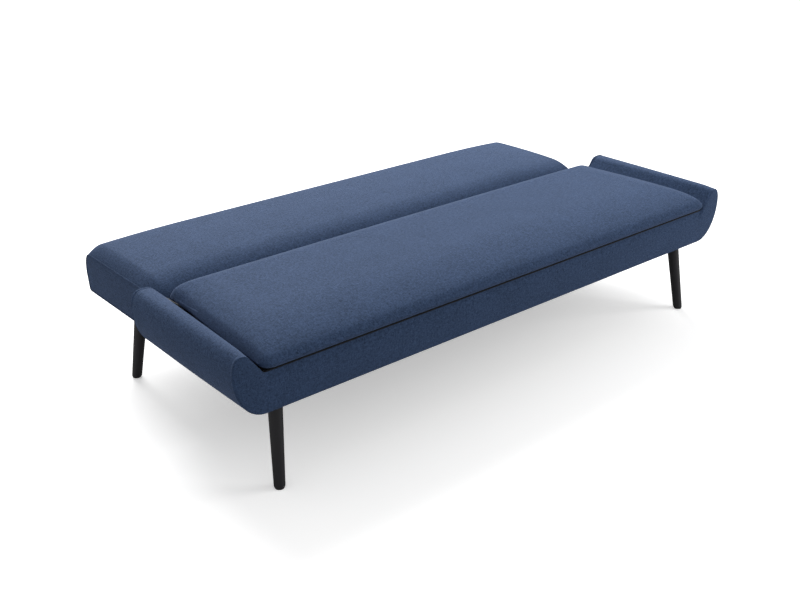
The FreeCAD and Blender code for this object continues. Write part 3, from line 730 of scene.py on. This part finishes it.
@dataclass
class Tub:
    """The upholstered boat: two arms, a front and a rear panel, their seams and the deck."""

    seam_round: float = 6.0 * MILLI
    arm_setback: float = 2.6 * MILLI
    arm_pull: float = 0.8
    arm_full: float = 1.2 * MILLI
    arm_root: float = 0.36
    arm_rise: float = 0.083
    swell: float = 3.5 * MILLI
    swell_reach: float = 0.055
    rear_round: float = 10.0 * MILLI
    rear_droop: float = 0.45
    rear_bulge: float = 4.5 * MILLI
    rear_reach: float = 0.07
    panel_flat: float = 0.895
    panel_pull: float = 0.7
    panel_swell: float = 0.8 * MILLI
    panel_reach: float = 0.02
    lean: float = 7.0 * MILLI
    lean_reach: float = 0.017
    deepest: float = 7.6 * MILLI
    cord: float = 1.3 * MILLI
    seam_depth: float = 3.2 * MILLI
    seam_inset: float = 0.9 * MILLI
    seam_climb: Pair = (0.012, 0.002)
    seam_proud: float = 0.4 * MILLI
    deck_gap: float = 3.0 * MILLI
    deck_thick: float = 3.8 * MILLI
    deck_rear_half: float = 0.8985
    deck_taper: Pair = (-0.46, -0.24)

    def __post_init__(self) -> None:
        """Read the places from the frame."""
        self.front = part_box("front_cover_panel")[0].y
        self.front_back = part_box("front_cover_panel")[1].y
        self.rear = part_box("rear_cover_panel")[1].y
        self.rear_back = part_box("rear_cover_panel")[0].y
        self.rear_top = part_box("seat_felt")[1].z - 1.0 * MILLI
        self.front_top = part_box("front_rail")[1].z + 0.9 * MILLI

    def arm(self, side: int) -> Piece:
        """One arm's padded wrap.

        The section goes from the front outline to the rear one in a straight blend. Its upper part
        swells a few millimetres just behind the front seam, and its rear end bulges at the head. At
        both ends the section shrinks by a quarter-round into the seam.

        Args:
            side: 1 for the right arm and -1 for the left.

        Returns:
            The arm.
        """
        first, last = FRONT_OUTLINE.arm_loop(150), REAR_OUTLINE.arm_loop(150)
        start, end = self.front + self.arm_setback, self.rear - self.arm_setback
        span = end - start
        turn = np.linspace(0.0, math.pi / 2, 8)
        near = self.seam_round * (1.0 - np.cos(turn))
        middle = np.linspace(self.seam_round, span - self.seam_round, 50)[1:-1]
        stations = np.concatenate([near, middle, (span - near)[::-1]])
        edge = np.clip(1.0 - np.minimum(stations, span - stations) / self.seam_round, 0.0, 1.0)
        late = np.clip(1.0 - (span - stations) / self.rear_round, 0.0, 1.0)
        share = (stations / span)[:, None, None]
        loops = first[None] * (1.0 - share) + last[None] * share
        outward = outward_of(first)[None] * (1.0 - share) + outward_of(last)[None] * share
        inset = self.seam_round * self.arm_pull * fallen(edge)
        shrink = (inset - self.arm_full * np.sin(math.pi * stations / span))[:, None]
        swell = self.swell * smooth_step(0.0, self.swell_reach, stations) * (1.0 - stations / span)
        rise = swell - self.rear_round * self.rear_droop * fallen(late)
        lift = np.clip((loops[..., 1] - self.arm_root) / self.arm_rise, 0.0, 1.0) ** 2
        late_push = self.rear_bulge * smooth_step(span - self.rear_reach, span, stations)
        grid = np.zeros((len(stations), loops.shape[1], 3))
        grid[..., 0] = side * (loops[..., 0] - shrink * outward[..., 0])
        grid[..., 1] = (start + stations)[:, None] + late_push[:, None] * bulging(*loops.transpose(2, 0, 1))
        grid[..., 2] = loops[..., 1] - shrink * outward[..., 1] + rise[:, None] * lift
        name = "right" if side > 0 else "left"
        piece = mesh_from_grid(f"arm_upholstery_{name}", grid)
        return dress(piece, Slot.WEAVE, Body.BASE, f"arm_cover_{name}")

    def panel(self, name: str, outline: BoatOutline, face: float, back: float, top: float,
              node: str) -> Piece:
        """A padded boat-shaped panel.

        Stations run along X. At each one a closed loop goes up the face from the outline's lower
        to its upper edge and down the back. The face drops back by a quarter-round near the edge
        and swells slightly in the middle. The front's upper edge is set back between the arms, and
        the rear bulges at the arms' heads.

        Args:
            name: The piece's name.
            outline: The boat's outline there.
            face: Y of its outer face.
            back: Y of its hidden back.
            top: Z of its straight upper edge.
            node: The CAD node that it stands for.

        Returns:
            The panel.
        """
        loop = outline.front_loop(top)
        x = crowded(self.panel_flat, loop[:, 0].max() - 0.3 * MILLI, 45, 72)
        across, z, gap = filled(loop[: len(loop) // 2], x, (outline.bottom, top), 22)
        inward = 1.0 - np.clip(gap / self.seam_round, 0.0, 1.0)
        depth = self.seam_round * self.panel_pull * fallen(inward)
        depth += self.panel_swell * np.exp(-gap / self.panel_reach)
        if face < back:
            depth += self.lean * np.exp(-np.abs(top - z) / self.lean_reach) * recessed(across)
            depth = np.minimum(depth, self.deepest)
        else:
            depth -= self.rear_bulge * bulging(across, z)
        out = 1.0 if face > back else -1.0
        loops = np.stack([np.hstack([face - out * depth, np.full(z.shape, back)]),
                          np.hstack([z, z[:, ::-1]])], 2)
        piece = merge(mesh_from_grid(name, swept(x, loops)))
        return dress(piece, Slot.WEAVE, Body.BASE, node)

    def seam(self, name: str, outline: BoatOutline, depth: float, top: float) -> Piece:
        """The cord sewn round a panel, in the groove between it and the arms.

        Args:
            name: The piece's name.
            outline: The boat's outline there.
            depth: Y of the cord.
            top: Z of the panel's straight upper edge.

        Returns:
            The cord; it follows the panel's bulge or its set-back upper edge.
        """
        loop = along(outline.front_loop(top), 900)
        across, up = softened(loop - outward_of(loop) * self.seam_inset, 3).T
        path = np.stack([across, np.full(len(loop), depth), up], 1)
        if depth > 0.5 * (self.front + self.rear):
            path[:, 1] += self.rear_bulge * bulging(across, up)
        else:
            upper = smooth_step(*(top - gap for gap in self.seam_climb), up)
            bottomed = self.front + self.deepest - self.seam_proud
            path[:, 1] += (bottomed - depth) * upper * recessed(across)
        return dress(tube(name, path, self.cord), Slot.WEAVE, Body.BASE)

    def deck(self) -> Piece:
        """The cloth-covered platform under the cushion, with rounded edges. Its black lining, used in place
        of the felt, is painted shade: it makes the gap under the cushion's front read as a dark line.
        """
        wide, narrow = FRONT_OUTLINE.slope_foot[0] + 1.0 * MILLI, self.deck_rear_half
        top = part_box("seat_felt")[1].z - 1.0 * MILLI
        y_front, y_rear = self.front_back - self.deck_gap, self.rear_back + self.deck_gap
        low = top - self.deck_thick
        section = np.array([(y_front, low), (y_rear, low), (y_rear, top), (y_front, top)])
        section = softened(along(section, 260), 2)
        half = wide + (narrow - wide) * smooth_step(*self.deck_taper, section[:, 0])
        grid = swept(np.linspace(-1.0, 1.0, 60)[:, None] * half, section)
        piece = mesh_from_grid("shade_deck_cloth", grid)
        # painted shade: the black lining makes the gap under the cushion's front read dark; the felt node
        # that it stands for is hidden
        return dress(piece, Slot.LINING, Body.BASE, "seat_felt")

    def build(self) -> None:
        """Make all of the tub's upholstery."""
        for side in (-1, 1):
            self.arm(side)
        self.panel("front_upholstery", FRONT_OUTLINE, self.front, self.front_back + 6 * MILLI,
                   self.front_top, "front_cover_panel")
        self.panel("rear_upholstery", REAR_OUTLINE, self.rear, self.rear_back, self.rear_top,
                   "rear_cover_panel")
        self.seam("front_seam", FRONT_OUTLINE, self.front + self.seam_depth, self.front_top)
        self.seam("rear_seam", REAR_OUTLINE, self.rear - self.seam_depth, self.rear_top)
        self.deck()


# --- cushions

@dataclass
class SeatCushion:
    """The fixed seat cushion: a wide dome over a rounded side that bulges above its lower seam."""

    front_half: float = 0.9325
    hinge_half: float = 0.9022
    hinge_reach: float = 0.088
    front_corner: float = 0.034
    rear_corner: float = 0.018
    side_height: float = 17.0 * MILLI
    crown: float = 71.5 * MILLI
    bulge: float = 10.0 * MILLI
    front_shoulder: Pair = (0.215, 1.75)
    rear_shoulder: Pair = (0.066, 2.0)
    end_shoulder: Pair = (0.115, 2.3)
    shoulder_power: float = 3.0
    edge_roll: float = 0.020
    under_roll: float = 0.022
    sag: float = 5.0 * MILLI
    flat_half: float = 0.80
    taper: Pair = (0.3, 0.7)

    def __post_init__(self) -> None:
        """Read the places from the frame."""
        low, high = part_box("seat_cover")
        self.front = low.y - 1.8 * MILLI - self.bulge
        self.rear = high.y
        self.base = low.z + 3.0 * MILLI

    def plan(self) -> Array:
        """The right half of the plan in X and Y, front to rear.

        The side curves gently inwards to run straight beside the hinge.
        """
        turn = np.linspace(0.0, math.pi / 2, 16)
        r, t = self.front_corner, self.rear_corner
        front = np.stack([self.front_half - r + r * np.sin(turn), self.front + r - r * np.cos(turn)], 1)
        y = np.linspace(self.front + r, self.rear - t, 90)[1:-1]
        side = np.stack([self.half_at(y), y], 1)
        rear = np.stack([self.hinge_half - t + t * np.cos(turn), self.rear - t + t * np.sin(turn)], 1)
        return np.vstack([front, side, rear])

    def half_at(self, y: Array) -> Array:
        """The cushion's half width at each Y."""
        share = np.clip((y - self.front) / (self.rear - self.hinge_reach - self.front), 0.0, 1.0)
        steady, late = self.taper
        return self.front_half + (self.hinge_half - self.front_half) * (steady * share + late * share**2)

    def build(self) -> Piece:
        """The cushion.

        Stations run along X and each loop goes over the top and back underneath. Each side has
        its own superellipse roll of the distance from that side; what they leave off adds up as a
        power mean, so that the corners are round. The underside curls up to meet the top at half
        the side's height.
        """
        right = self.plan()
        reach = right[:, 0].max()
        x = crowded(self.flat_half, reach, 47, 110)
        across, y, gap = filled(right, x, (self.front, self.rear), 96)
        sides = ((y - self.front, self.front_shoulder), (self.rear - y, self.rear_shoulder),
                 (self.half_at(y) - np.abs(across), self.end_shoulder))
        missing = [1.0 - roll(inwards, width, top=full) for inwards, (width, full) in sides]
        left_off = sum(part**self.shoulder_power for part in missing) ** (1.0 / self.shoulder_power)
        rise = np.clip(1.0 - left_off, 0.0, 1.0) * roll(gap, self.edge_roll)
        deep = np.sin((y - self.front) / (self.rear - self.front) * math.pi)
        wide = np.cos(np.clip(x / reach, -1, 1) * math.pi / 2)[:, None]
        height = self.crown - self.side_height - self.sag * (1.0 - (0.5 * deep + 0.5 * wide))
        waist = self.base + self.side_height
        under = waist - self.side_height * roll(gap, self.under_roll)
        loops = np.stack([np.hstack([y, y[:, -2:0:-1]]),
                          np.hstack([waist + rise * height, under[:, -2:0:-1]])], 2)
        piece = merge(mesh_from_grid("seat_cushion", swept(x, loops)))
        return dress(piece, Slot.WEAVE, Body.BASE, "seat_cover", "seat_foam")


@dataclass
class Backrest:
    """The padded backrest: a wrapped crowned pad between two flat end panels with corded seams."""

    end_seam: float = 0.3815
    crown: float = 0.4325
    edge_share: float = 0.72
    edge_roll: float = 0.038
    slow_roll: float = 0.34
    edge_curve: Pair = (1.7, 1.12)
    slow_curve: Pair = (2.0, 1.1)
    inner_roll: Pair = (0.130, 0.150)
    inner_curve: Pair = (2.1, 2.2)
    outer_roll: Pair = (0.036, 0.044)
    outer_curve: Pair = (2.4, 2.4)
    spring: float = 0.060
    bow: float = 0.007
    corner: float = 0.006
    draft: float = 0.008
    cord: float = 1.7 * MILLI

    def __post_init__(self) -> None:
        """Read the places from the frame."""
        low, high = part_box("back_cover")
        self.inner = low.y
        self.outer = high.y + 1.5 * MILLI
        self.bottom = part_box("back_dust_cover")[1].z + 0.3 * MILLI
        self.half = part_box("back_end_panel_right")[1].x

    def section(self, lift: float, slope: float) -> Array:
        """The closed section in Y and Z.

        Args:
            lift: 1 for the full crown and 0 for the flat top at the end panels.
            slope: 1 for a long rise from the seat side and 0 for a short rounded edge there.

        Returns:
            Evenly spaced points: flat underside, rolled ends and a crowned or flat top.
        """
        top = self.end_seam + (self.crown - self.end_seam) * lift
        deep = self.outer - self.inner
        y = self.inner + deep * eased(90)
        inner_width = self.inner_roll[0] + self.inner_roll[1] * slope
        outer_width = self.outer_roll[0] + self.outer_roll[1] * lift
        sides = np.minimum(roll(y - self.inner, inner_width, *self.inner_curve),
                           roll(self.outer - y, outer_width, *self.outer_curve))
        spring = self.bottom + self.spring
        bow = self.bow * lift * (np.sin(math.pi * (y - self.inner) / deep) - 1.0)
        over = np.stack([y, spring + (top - spring) * sides + bow], 1)
        turn = np.linspace(0.0, math.pi / 2, 8)
        down, across = self.corner * np.sin(turn), self.corner * np.cos(turn)
        centre = self.bottom + self.corner
        rear = np.stack([self.outer - self.draft - self.corner + across, centre - down], 1)
        front = np.stack([self.inner + self.corner - down, centre - across], 1)
        return softened(along(np.vstack([over, rear, front]), 260), 2)

    def build(self) -> None:
        """Make the wrapped pad, its end panels and their seams."""
        inside = self.half - 2.0 * MILLI
        x = crowded(self.half - self.slow_roll, inside, 43, 60)
        from_end = inside - np.abs(x)
        quick = self.edge_share * roll(from_end, self.edge_roll, *self.edge_curve)
        slow = (1.0 - self.edge_share) * roll(from_end, self.slow_roll, *self.slow_curve)
        full, square, low = self.section(1.0, 1.0), self.section(1.0, 0.0), self.section(0.0, 0.0)
        loops = (low[None] + (square - low)[None] * quick[:, None, None]
                 + (full - low)[None] * slow[:, None, None])
        pad = mesh_from_grid("backrest_pad", swept(x, loops))
        dress(pad, Slot.WEAVE, Body.BACKREST, "back_cover", "back_foam")
        for side, name in ((-1, "left"), (1, "right")):
            self.end_panel(side, name, low)
            path = swept(np.array([side * (self.half - 1.4 * MILLI)]), low)[0]
            seam = tube(f"backrest_seam_{name}", path, self.cord)
            dress(seam, Slot.WEAVE, Body.BACKREST)

    def end_panel(self, side: int, name: str, loop: Array) -> Piece:
        """A flat padded end: rings of the section shrink to its middle over a shallow swell.

        Args:
            side: 1 for the right end and -1 for the left.
            name: The side's name.
            loop: The pad's low section.

        Returns:
            The end panel.
        """
        insets = np.array([0.8, 0.8, 1.2, 2.2, 4.0, 8.0]) * MILLI
        shares = np.array([0.9, 0.78, 0.62, 0.45, 0.28, 0.1])
        depths = np.array([8.0, 3.6, 2.8, 1.9, 1.3, 0.9, 0.2, -0.4, -0.8, -1.0, -1.1, -1.1]) * MILLI
        middle = np.array([loop[:, 0].mean(), (loop[:, 1].min() + loop[:, 1].max()) / 2])
        outward = outward_of(loop)
        outward *= 1.0 if (loop[0, 0] - middle[0]) * outward[0, 0] > 0 else -1.0
        rims = loop[None] - outward[None] * insets[:, None, None]
        rings = middle + (rims[-1] - middle)[None] * shares[:, None, None]
        grid = swept(side * (self.half - depths), np.concatenate([rims, rings]))
        piece = mesh_from_grid(f"backrest_end_{name}", grid)
        return dress(piece, Slot.WEAVE, Body.BACKREST, f"back_end_panel_{name}")


# --- undersides

@dataclass
class DustSheet:
    """A black dust cloth stapled under a frame."""

    name: str
    node: str
    rests_on: str
    body: Body
    sag: float = 1.6 * MILLI
    pucker: float = 0.25 * MILLI
    pucker_reach: float = 0.03
    level_ends: Pair = (0.10, 0.22)
    hem: float = 0.012
    pitch: float = 0.058
    thickness: float = 0.5 * MILLI

    def build(self) -> None:
        """The cloth and its staples.

        The cloth drops in the middle by a sine arch that fades out towards both ends, and puckers
        at its edge between the staples by a cosine that dies away inwards.
        """
        low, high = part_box(self.node)
        x = np.linspace(low.x + MILLI, high.x - MILLI, 320)
        y = np.linspace(low.y + MILLI, high.y - MILLI, 110)
        across, deep = np.meshgrid(x, y, indexing="ij")
        edge = np.minimum(np.minimum(across - x[0], x[-1] - across), np.minimum(deep - y[0], y[-1] - deep))
        clear = smooth_step(*(x[-1] - end for end in self.level_ends), np.abs(across))
        arch = np.sin(math.pi * (deep - y[0]) / (y[-1] - y[0])) ** 0.7 * clear
        waves = np.cos(2 * math.pi * across / self.pitch) * np.cos(2 * math.pi * deep / self.pitch)
        drop = self.sag * arch + self.pucker * (1.0 - waves) * np.exp(-edge / self.pucker_reach) * clear
        grid = np.stack([across, deep, high.z - self.thickness - drop], 2)
        cloth = mesh_from_grid(self.name, grid, closed_rows=False, capped=False)
        wall = cloth.modifiers.new("wall", "SOLIDIFY")
        wall.thickness = self.thickness
        wall.offset = 1.0
        dress(cloth, Slot.LINING, self.body, self.node)
        self.staples(x, y, high.z - self.thickness)

    def staples(self, x: Array, y: Array, level: float) -> Piece:
        """Wire staples along the four edges: each one is a flat bar with its ends turned up.

        Args:
            x: The cloth's stations along X.
            y: The cloth's stations along Y.
            level: Z of the cloth's lower face at its edge.

        Returns:
            All of the staples as one piece.
        """
        wide = np.arange(x[0] + self.pitch / 2, x[-1], self.pitch)
        tall = np.arange(y[0] + self.pitch / 2, y[-1], self.pitch)
        inner = (y[0] + self.hem / 2, y[-1] - self.hem / 2)
        spots = [np.stack([wide, np.full(len(wide), line), np.zeros(len(wide))], 1) for line in inner]
        sides = (x[0] + self.hem / 2, x[-1] - self.hem / 2)
        spots += [np.stack([np.full(len(tall), line), tall, np.ones(len(tall))], 1) for line in sides]
        places = np.vstack(spots)
        half, wire, leg = 5.0 * MILLI, 0.5 * MILLI, 1.5 * MILLI
        path = np.array([[-half, leg], [-half, 0.0], [half, 0.0], [half, leg]])
        lean = np.array([[0.0, 0.0], [-wire, -wire], [wire, -wire], [0.0, 0.0]])
        corners = np.zeros((4, 4, 3))
        for corner, (outer, aside) in enumerate(((1.0, -wire), (0.0, -wire), (0.0, wire), (1.0, wire))):
            corners[:, corner, [0, 2]] = path + lean * outer
            corners[:, corner, 1] = aside
        turned = places[:, 2, None, None, None] > 0.5
        places[:, 2] = level
        body = np.where(turned, corners[..., [1, 0, 2]], corners) + places[:, None, None]
        index = np.arange(16).reshape(4, 4)
        after = np.roll(index, -1, axis=1)
        quads = np.stack([index[:-1], after[:-1], after[1:], index[1:]], -1).reshape(-1, 4)
        quads = np.vstack([quads, index[0][::-1], index[-1]])
        faces = (quads[None] + 16 * np.arange(len(places))[:, None, None]).reshape(-1, 4)
        mesh = bpy.data.meshes.new(f"{self.name}_staples")
        mesh.from_pydata(body.reshape(-1, 3).tolist(), [], faces.tolist())
        staples = linked(f"{self.name}_staples", mesh)
        return dress(recalculated(staples), Slot.BRIGHT_STEEL, self.body)


# --- legs

@dataclass
class Leg:
    """A turned, splayed leg: a straight taper with an eased foot."""

    name: str
    foot_radius: float = 16.0 * MILLI
    taper: float = 0.0195
    ease: float = 2.5 * MILLI
    foot_height: float = 0.012
    rows: int = 24

    def build(self) -> Piece:
        """The leg: circles up a leaning middle line, drawn in at the eased foot."""
        low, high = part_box(f"leg_{self.name}")
        top_radius = self.foot_radius + self.taper * (high.z - low.z)
        foot, top = np.zeros(2), np.zeros(2)
        for axis in (0, 1):
            outward = -1.0 if low[axis] + high[axis] < 0 else 1.0
            inner, outer = (high[axis], low[axis]) if outward < 0 else (low[axis], high[axis])
            foot[axis] = outer - outward * self.foot_radius
            top[axis] = inner + outward * top_radius
        turn = np.linspace(0.0, math.pi / 2, 6)
        straight = np.linspace(low.z + self.foot_height, high.z, self.rows)
        z = np.concatenate([low.z + self.ease * (1 - np.cos(turn)), straight])
        cut = np.concatenate([self.ease * (1 - np.sin(turn)), np.zeros(self.rows)])
        share = (z - low.z) / (high.z - low.z)
        radius = self.foot_radius + (top_radius - self.foot_radius) * share - cut
        middle = foot[None] + (top - foot)[None] * share[:, None]
        angle = np.linspace(0.0, 2 * math.pi, 48, endpoint=False)
        grid = np.zeros((len(z), len(angle), 3))
        grid[..., 0] = middle[:, :1] + radius[:, None] * np.cos(angle)[None]
        grid[..., 1] = middle[:, 1:] + radius[:, None] * np.sin(angle)[None]
        grid[..., 2] = z[:, None]
        piece = mesh_from_grid(f"turned_leg_{self.name}", grid)
        return dress(piece, Slot.LEG_WOOD, Body.BASE, f"leg_{self.name}")


# --- frame finishes and studio

# Hinge pins and bolts in the gaps get black steel instead of their own finish: painted shade for the dark
# gap.
SHADE_BLACKENED = ("hinge_pins", "pawl_pins", "hinge_seat_bolts", "hinge_back_bolts")


def finish_frame() -> None:
    """Give every CAD node that stays the finish of its slot, with two swaps that are painted shade: woven
    cloth gets the black lining, and the hinges' pins and bolts are blackened with black steel, so that they
    read as the dark gap.
    """
    slots = {part["node"]: Slot(part["material_slot"]) for part in frame["record"]["subparts"]}
    for name, piece in frame["nodes"].items():
        slot = Slot.BLACK_STEEL if name in SHADE_BLACKENED else slots[name]
        # painted shade: CAD cloth that stays is dressed in the black lining, not the navy weave, so it
        # reads dark in the gaps
        material = finish_of(Slot.LINING if slot is Slot.WEAVE else slot)
        piece.data.materials.clear()
        piece.data.materials.append(material)


def aimed(name: str, data: bpy.types.ID, place: Triple, ahead: Vector) -> Piece:
    """A lamp or a camera at a place, facing along a direction."""
    made = linked(name, data)
    made.location = place
    made.rotation_mode = "QUATERNION"
    made.rotation_quaternion = ahead.to_track_quat("-Z", "Y")
    return made


@dataclass(frozen=True)
class Lamp:
    """A square soft box at a place, facing its aim, with its side in metres and its power in watts."""

    name: str
    place: Triple
    aim: Triple
    side: float
    power: float

    def hang(self) -> None:
        """Put the lamp up."""
        data = bpy.data.lights.new(self.name, "AREA")
        data.size = self.side
        data.energy = self.power
        aimed(self.name, data, self.place, Vector(self.aim) - Vector(self.place))


@dataclass(frozen=True)
class Studio:
    """A pale floor, soft light and the camera."""

    camera_place: Triple = (-2.1828, -2.5286, 1.6609)
    heading: float = 40.306
    pitch: float = 24.75
    lens: float = 47.62
    sensor: float = 36.0
    farthest: float = 60.0
    floor_seen: float = 0.93
    floor_glow: float = 0.38
    floor_bounce: Triple = (0.45, 0.45, 0.46)
    sky: float = 0.6
    lamps: tuple[Lamp, ...] = (
        Lamp("key", (1.4, 5.0, 4.8), (0.0, 0.0, 0.2), side=5.0, power=700.0),
        Lamp("right_fill", (3.4, -2.8, 1.7), (0.8, -0.3, 0.3), side=2.0, power=75.0),
    )

    def camera(self) -> None:
        """A level camera at its place, turned by its heading and tipped down by its pitch."""
        data = bpy.data.cameras.new("camera")
        data.lens = self.lens
        data.sensor_width = self.sensor
        data.clip_end = self.farthest
        yaw, down = math.radians(self.heading), math.radians(self.pitch)
        ahead = Vector((math.sin(yaw) * math.cos(down), math.cos(yaw) * math.cos(down), -math.sin(down)))
        bpy.context.scene.camera = aimed("camera", data, self.camera_place, ahead)

    def floor(self) -> None:
        """A wide pale floor; it is duller to bounced light, so that it doesn't fill the shadows."""
        grid = np.zeros((2, 2, 3))
        grid[..., 0] = np.array([[-40.0, 40.0]] * 2)
        grid[..., 1] = np.array([[-40.0], [60.0]])
        piece = mesh_from_grid("floor", grid, closed_rows=False, capped=False)
        made = bpy.data.materials.new("pale_floor")
        made.use_nodes = True
        s = Shader(made.node_tree)
        seen = s.node("ShaderNodeLightPath").outputs["Is Camera Ray"]
        s.feed(made.node_tree.nodes["Principled BSDF"], {
            "Base Color": s.mix(seen, (*self.floor_bounce, 1.0), (*[self.floor_seen] * 3, 1.0)),
            "Emission Color": s.mix(seen, (0.0, 0.0, 0.0, 1.0), (*[self.floor_glow] * 3, 1.0)),
            "Emission Strength": 1.0,
            "Roughness": 0.9,
            "Specular IOR Level": 0.1,
        })
        piece.data.materials.append(made)

    def build(self) -> None:
        """Set the whole studio up."""
        self.camera()
        self.floor()
        for lamp in self.lamps:
            lamp.hang()
        world = bpy.data.worlds.new("studio")
        world.use_nodes = True
        back = world.node_tree.nodes["Background"]
        back.inputs["Color"].default_value = (1.0, 1.0, 1.0, 1.0)
        back.inputs["Strength"].default_value = self.sky
        bpy.context.scene.world = world
        bpy.context.scene.view_settings.view_transform = "Standard"


def main() -> None:
    """Build every piece in order."""
    logging.basicConfig(level=logging.INFO, format="%(message)s")
    Studio().build()
    finish_frame()
    Tub().build()
    SeatCushion().build()
    Backrest().build()
    DustSheet("tub_dust_cloth", "tub_dust_cover", "bottom_board", Body.BASE).build()
    DustSheet("backrest_dust_cloth", "back_dust_cover", "back_side_rail_left", Body.BACKREST).build()
    for name in ("front_left", "front_right", "rear_left", "rear_right"):
        Leg(name).build()


if __name__ == "__main__":
    main()
